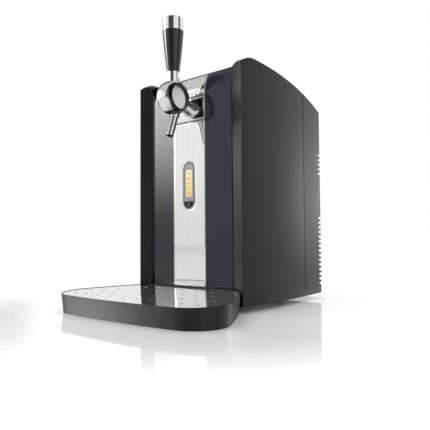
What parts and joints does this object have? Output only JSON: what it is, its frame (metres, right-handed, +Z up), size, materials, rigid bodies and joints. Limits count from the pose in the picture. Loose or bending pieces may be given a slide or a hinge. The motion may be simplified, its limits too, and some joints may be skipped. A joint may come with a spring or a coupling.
{
  "type": "mini keg beer dispenser",
  "caption": "Cooled cabinet for a small keg, with a front door that carries a ball tap with a tall pull handle and a display, over a bowed drip tray with a drilled cover.",
  "frame": {"origin": "on the floor, in the middle of the part's width and half way between the drip tray's front edge and the rear screw heads", "axes": "+Z up, the tap and tray face -Y, +X is the viewer's right when facing the tap"},
  "size_m": [0.333, 0.4403, 0.494],
  "materials": {
    "shell_black": "fine satin moulding",
    "side_gloss": "gloss black",
    "door_gloss": "high gloss black",
    "rubber": "matt",
    "steel": "plain",
    "mirror_steel": "mirror polished steel",
    "tray_steel": "mirror polished steel",
    "chrome": "bright",
    "aluminium": "bare",
    "brass": "plain",
    "inner_white": "smooth",
    "foam": "graphite foam",
    "ceramic": "ceramic plates",
    "tube": "flexible tube",
    "board": "circuit board",
    "magnet": "bonded magnet",
    "smoked_window": "smoked, gloss",
    "lcd_face": "clear face over a light panel",
    "led_lens": "clear lens",
    "tap_black": "gloss black",
    "grip_black": "satin gloss black"
  },
  "bodies": {
    "cabinet": {"base_chassis": "shell_black", "rubber_feet": "rubber", "side_shell_right": "side_gloss", "side_shell_left": "side_gloss", "top_lid": "shell_black", "rear_cover": "shell_black", "rear_screws": "steel", "front_frame": "shell_black", "chamber_liner": "inner_white", "insulation": "foam", "chamber_ceiling": "inner_white", "keg_coupler": "shell_black", "cold_block": "aluminium", "cooler_module": "ceramic", "heat_sink": "aluminium", "fan_frame": "shell_black", "air_pump": "steel", "pump_bracket": "steel", "air_pipe": "tube", "power_board": "board", "control_board": "board", "mains_inlet": "shell_black", "hinge_frame_leaf": "steel", "hinge_pin": "steel", "latch_keeper": "steel"},
    "fan": {"fan_rotor": "shell_black"},
    "door": {"door_frame": "shell_black", "door_foam": "foam", "door_liner": "inner_white", "plug_foam": "foam", "door_gasket": "rubber", "panel_right": "door_gloss", "panel_left": "door_gloss", "strip_lower": "mirror_steel", "tap_plate": "mirror_steel", "strip_upper": "mirror_steel", "display_bezel": "chrome", "display_window": "smoked_window", "display_lcd": "lcd_face", "display_board": "board", "display_led": "led_lens", "button_switch": "shell_black", "latch_magnet": "magnet", "hinge_door_leaf": "steel", "tap_shank": "chrome", "tap_nut": "brass", "tap_ball": "tap_black", "tap_shield": "chrome", "pivot_discs": "chrome", "pivot_pin": "steel", "spout": "chrome"},
    "tap_handle": {"tap_lever": "chrome", "lever_collar": "chrome", "handle_rod": "steel", "handle_grip": "grip_black", "handle_cap": "chrome"},
    "button": {"power_button": "chrome"},
    "tray": {"drip_tray": "shell_black"},
    "tray_cover": {"drip_cover": "tray_steel"}
  },
  "joints": [
    {"name": "door_hinge", "type": "hinge", "parent": "cabinet", "child": "door", "pos_m": [-0.0907, -0.0445, 0.221], "axis": [0, 0, -1], "range_deg": [0, 100]},
    {"name": "tap_pull", "type": "hinge", "parent": "door", "child": "tap_handle", "pos_m": [0, -0.0878, 0.3554], "axis": [1, 0, 0], "range_deg": [0, 45]},
    {"name": "button_press", "type": "slide", "parent": "door", "child": "button", "axis": [0, 1, 0], "range_m": [0, 0.0012], "stiffness_N_per_m": 300},
    {"name": "fan_spin", "type": "hinge", "parent": "cabinet", "child": "fan", "pos_m": [0, 0.1998, 0.19], "axis": [0, 1, 0], "continuous": true},
    {"name": "tray_slide", "type": "slide", "parent": "cabinet", "child": "tray", "axis": [0, -1, 0], "range_m": [0, 0.175]},
    {"name": "cover_lift", "type": "slide", "parent": "tray", "child": "tray_cover", "axis": [0, 0, 1], "range_m": [0, 0.03]}
  ]
}
